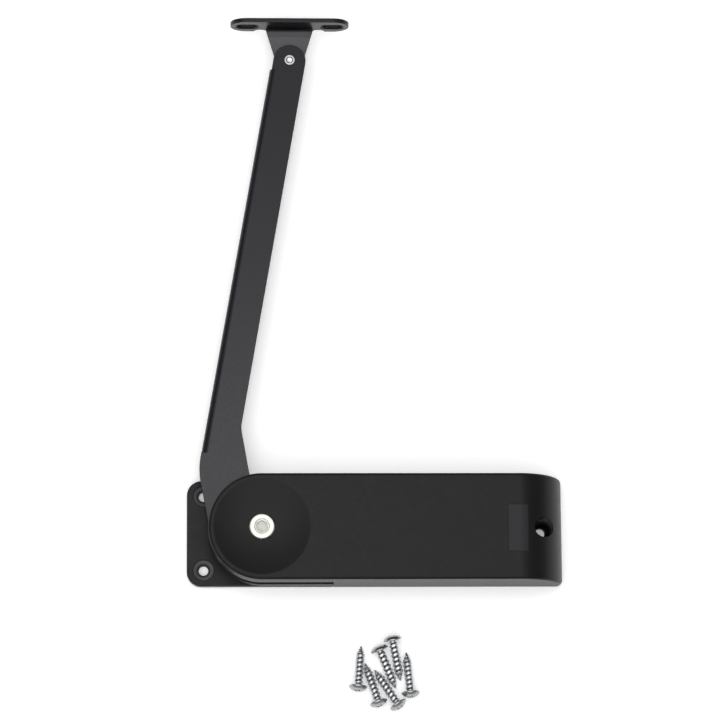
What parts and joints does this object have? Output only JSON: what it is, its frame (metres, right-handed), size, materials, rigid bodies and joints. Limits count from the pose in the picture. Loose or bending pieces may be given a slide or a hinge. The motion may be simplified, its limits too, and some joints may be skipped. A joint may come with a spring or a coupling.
{
  "type": "surface mounted door closer",
  "caption": "Black overhead door closer: long moulded housing over a flanged base, cranked flanged arm swinging from a slot in its round end, pivoted door bracket, loose fixing screws.",
  "frame": {"origin": "on the base plate's mounting face, on the spindle's axis", "axes": "+X along the housing from the round end to the sloping end, +Z along the spindle away from the mounting face, +Y to the side the arm points to at rest"},
  "size_m": [0.2057, 0.3838, 0.034],
  "materials": {
    "black_moulding": "fine grained",
    "black_casting": "powder coated",
    "black_steel": "satin coated",
    "plain_steel": "machined",
    "spring_steel": "oil tempered",
    "zinc_steel": "bright zinc plated",
    "bearing_bronze": "sintered",
    "nylon": "natural",
    "buffer_rubber": "matte"
  },
  "bodies": {
    "housing": {"base_plate": "black_casting", "cover": "black_moulding", "chassis_frame": "plain_steel", "bearing_plate": "plain_steel", "lower_bush": "bearing_bronze", "upper_bush": "bearing_bronze", "guide_rod": "plain_steel", "guide_rod_nut": "zinc_steel", "spring_seat": "plain_steel", "damper_cylinder": "plain_steel", "damper_gland": "nylon", "damper_nut": "zinc_steel", "stop_buffer": "buffer_rubber", "cover_screw_1": "zinc_steel", "frame_screw_1": "zinc_steel", "cover_screw_2": "zinc_steel", "frame_screw_2": "zinc_steel", "cover_screw_3": "zinc_steel", "frame_screw_3": "zinc_steel", "cover_screw_4": "zinc_steel", "frame_screw_4": "zinc_steel", "bearing_screw_1": "zinc_steel", "bearing_screw_2": "zinc_steel", "wood_screw_1": "zinc_steel", "wood_screw_2": "zinc_steel", "wood_screw_3": "zinc_steel", "wood_screw_4": "zinc_steel", "wood_screw_5": "zinc_steel", "wood_screw_6": "zinc_steel"},
    "swing_arm": {"spindle": "plain_steel", "arm": "black_steel", "slip_washer": "plain_steel", "hub_spacer": "nylon", "cap_washer": "zinc_steel", "cap_screw": "zinc_steel", "pivot_rivet": "zinc_steel"},
    "bracket": {"door_bracket": "black_steel", "pivot_washer": "nylon"},
    "carriage": {"rack_carriage": "plain_steel", "return_spring": "spring_steel", "damper_rod": "zinc_steel"}
  },
  "joints": [
    {"name": "arm_swing", "type": "hinge", "parent": "housing", "child": "swing_arm", "pos_m": [0, 0, 0], "axis": [0, 0, 1], "range_deg": [0, 180], "stiffness_Nm_per_rad": 0.93, "springref_deg": -41.83},
    {"name": "bracket_pivot", "type": "hinge", "parent": "swing_arm", "child": "bracket", "pos_m": [0.01613, 0.26519, 0.0112], "axis": [0, 0, 1], "range_deg": [-115, 42]},
    {"name": "carriage_slide", "type": "slide", "parent": "housing", "child": "carriage", "axis": [1, 0, 0], "range_m": [0, 0.01729], "deforming": ["return_spring"]}
  ],
  "couplings": [
    {"joint": "carriage_slide", "follows": "arm_swing", "m_per_rad": 0.0055}
  ]
}
